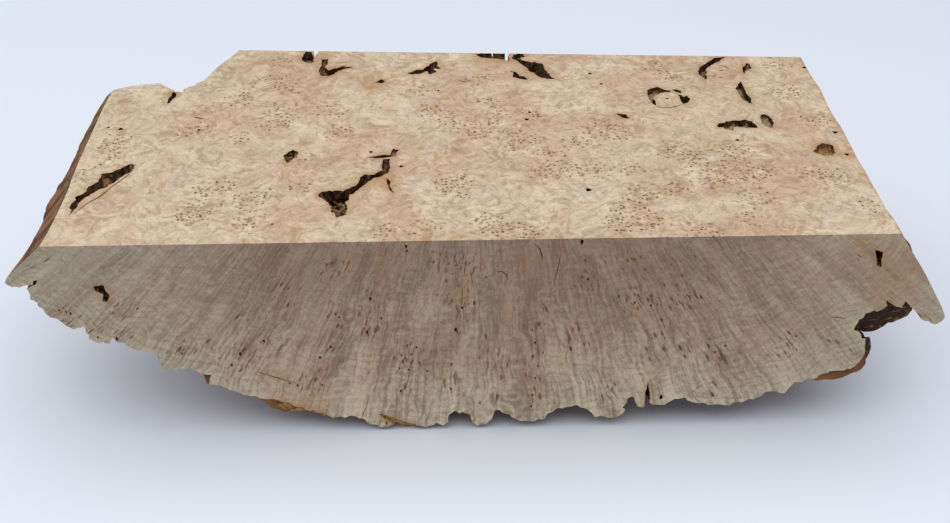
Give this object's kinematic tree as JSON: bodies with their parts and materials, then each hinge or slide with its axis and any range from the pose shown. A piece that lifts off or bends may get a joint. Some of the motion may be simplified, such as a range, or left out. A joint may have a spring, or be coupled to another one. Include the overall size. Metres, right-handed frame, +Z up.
{
  "type": "maple burl wood block",
  "caption": "Half-dome block of burl wood, sawn flat on top, front and back, with a knobby natural underside and bark-lined pockets.",
  "frame": {"origin": "middle of the block's footprint, on the surface that it rests on", "axes": "+X along the block's length, +Y from the sawn front to the sawn back, +Z up to the sawn top"},
  "size_m": [0.452, 0.2066, 0.119],
  "materials": {
    "burl_wood": "sawn and unfinished, with the natural knobby surface below and dark bark in its pockets"
  },
  "bodies": {
    "root": {"maple_burl": "burl_wood"}
  },
  "joints": []
}
